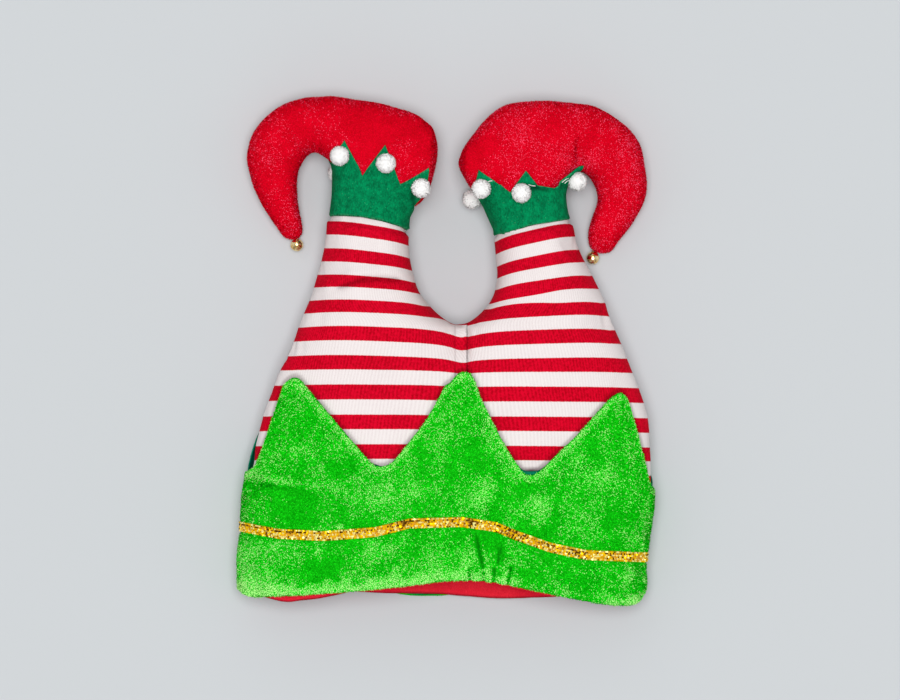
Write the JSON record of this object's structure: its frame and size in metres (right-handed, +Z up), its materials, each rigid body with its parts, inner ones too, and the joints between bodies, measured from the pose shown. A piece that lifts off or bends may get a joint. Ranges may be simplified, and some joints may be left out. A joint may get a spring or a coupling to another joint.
{
  "type": "elf legs novelty hat",
  "caption": "Soft novelty hat lying on its back: striped stuffed legs with curled plush shoes, felt collars with pompoms, bells and a pointed plush cuff round the open head hollow.",
  "frame": {"origin": "on the floor, under the middle of the lying hat's plan", "axes": "+X across the hat to the right seen from above, +Y from the open rim to the shoes, +Z up off the floor"},
  "size_m": [0.3, 0.363, 0.0646],
  "materials": {
    "striped_knit": "red and white striped cotton jersey",
    "lining_cloth": "plain red lining cloth",
    "lime_plush": "short lime green plush pile",
    "backing_felt": "dark green felt",
    "sequin_ribbon": "gold sequin ribbon",
    "red_plush": "short red plush pile",
    "green_felt": "green felt",
    "white_yarn": "fluffy white yarn",
    "bell_metal": "polished gold plate"
  },
  "bodies": {
    "root": {"striped_trousers": "striped_knit", "crown_lining": "lining_cloth", "cuff": "lime_plush", "cuff_backing": "backing_felt", "gold_ribbon": "sequin_ribbon", "left_shoe": "red_plush", "left_collar": "green_felt", "left_pompom_1": "white_yarn", "left_pompom_2": "white_yarn", "left_pompom_3": "white_yarn", "left_pompom_4": "white_yarn", "left_pompom_5": "white_yarn", "left_bell": "bell_metal", "right_shoe": "red_plush", "right_collar": "green_felt", "right_pompom_1": "white_yarn", "right_pompom_2": "white_yarn", "right_pompom_3": "white_yarn", "right_pompom_4": "white_yarn", "right_pompom_5": "white_yarn", "right_bell": "bell_metal"}
  },
  "joints": []
}
